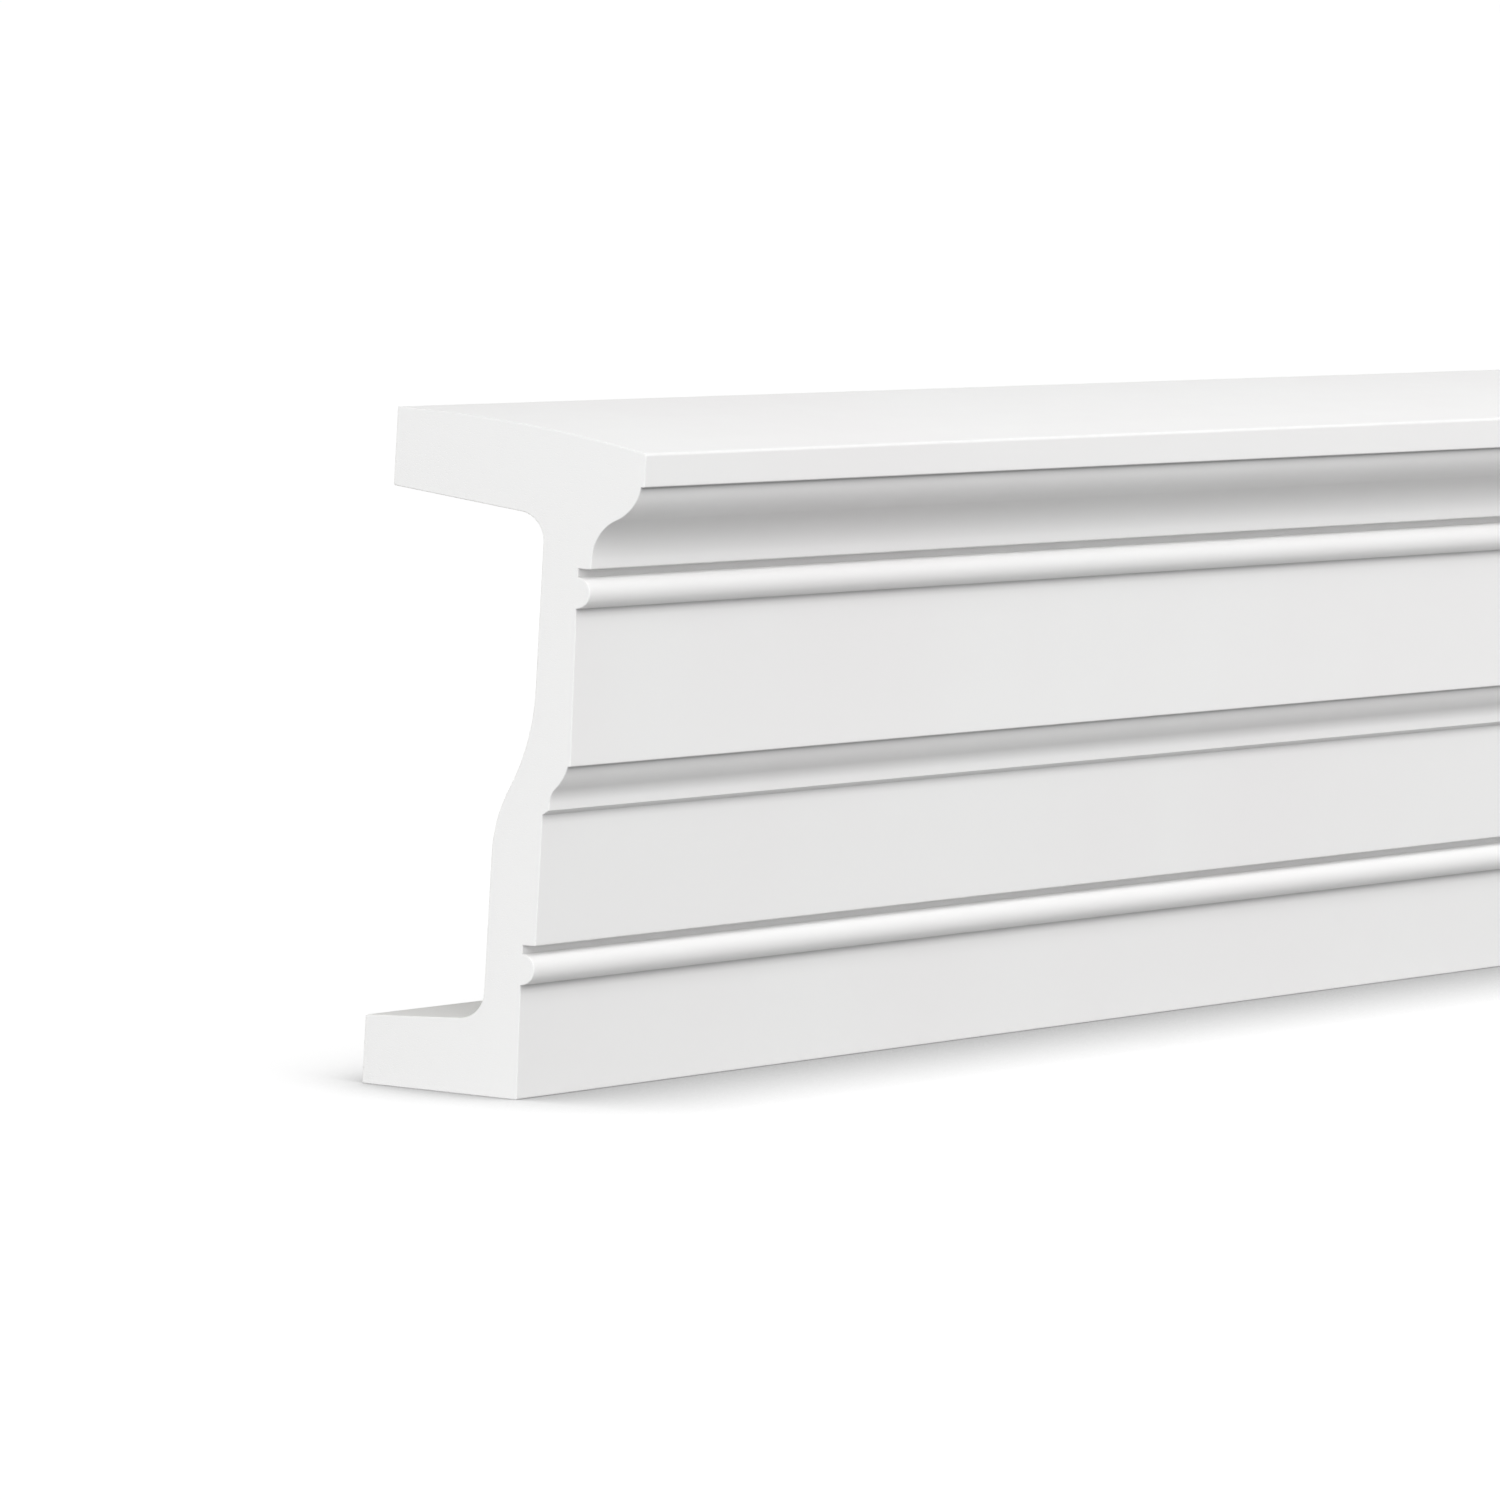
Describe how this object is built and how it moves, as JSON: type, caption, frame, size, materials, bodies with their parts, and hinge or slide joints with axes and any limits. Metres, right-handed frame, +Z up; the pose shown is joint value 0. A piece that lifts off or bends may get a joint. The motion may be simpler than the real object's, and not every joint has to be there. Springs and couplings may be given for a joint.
{
  "type": "exterior architrave moulding",
  "caption": "Length of white foam facade moulding with stepped fascias, quirked beads, ogees, a weathered top and a hollow back.",
  "frame": {"origin": "middle of the bounding box on the level of the foot", "axes": "+X along the stock, +Y towards the wall, +Z up"},
  "size_m": [2, 0.1044, 0.25],
  "materials": {
    "primed_foam": "matt white primer on rigid polyurethane foam"
  },
  "bodies": {
    "root": {"architrave_moulding": "primed_foam"}
  },
  "joints": []
}
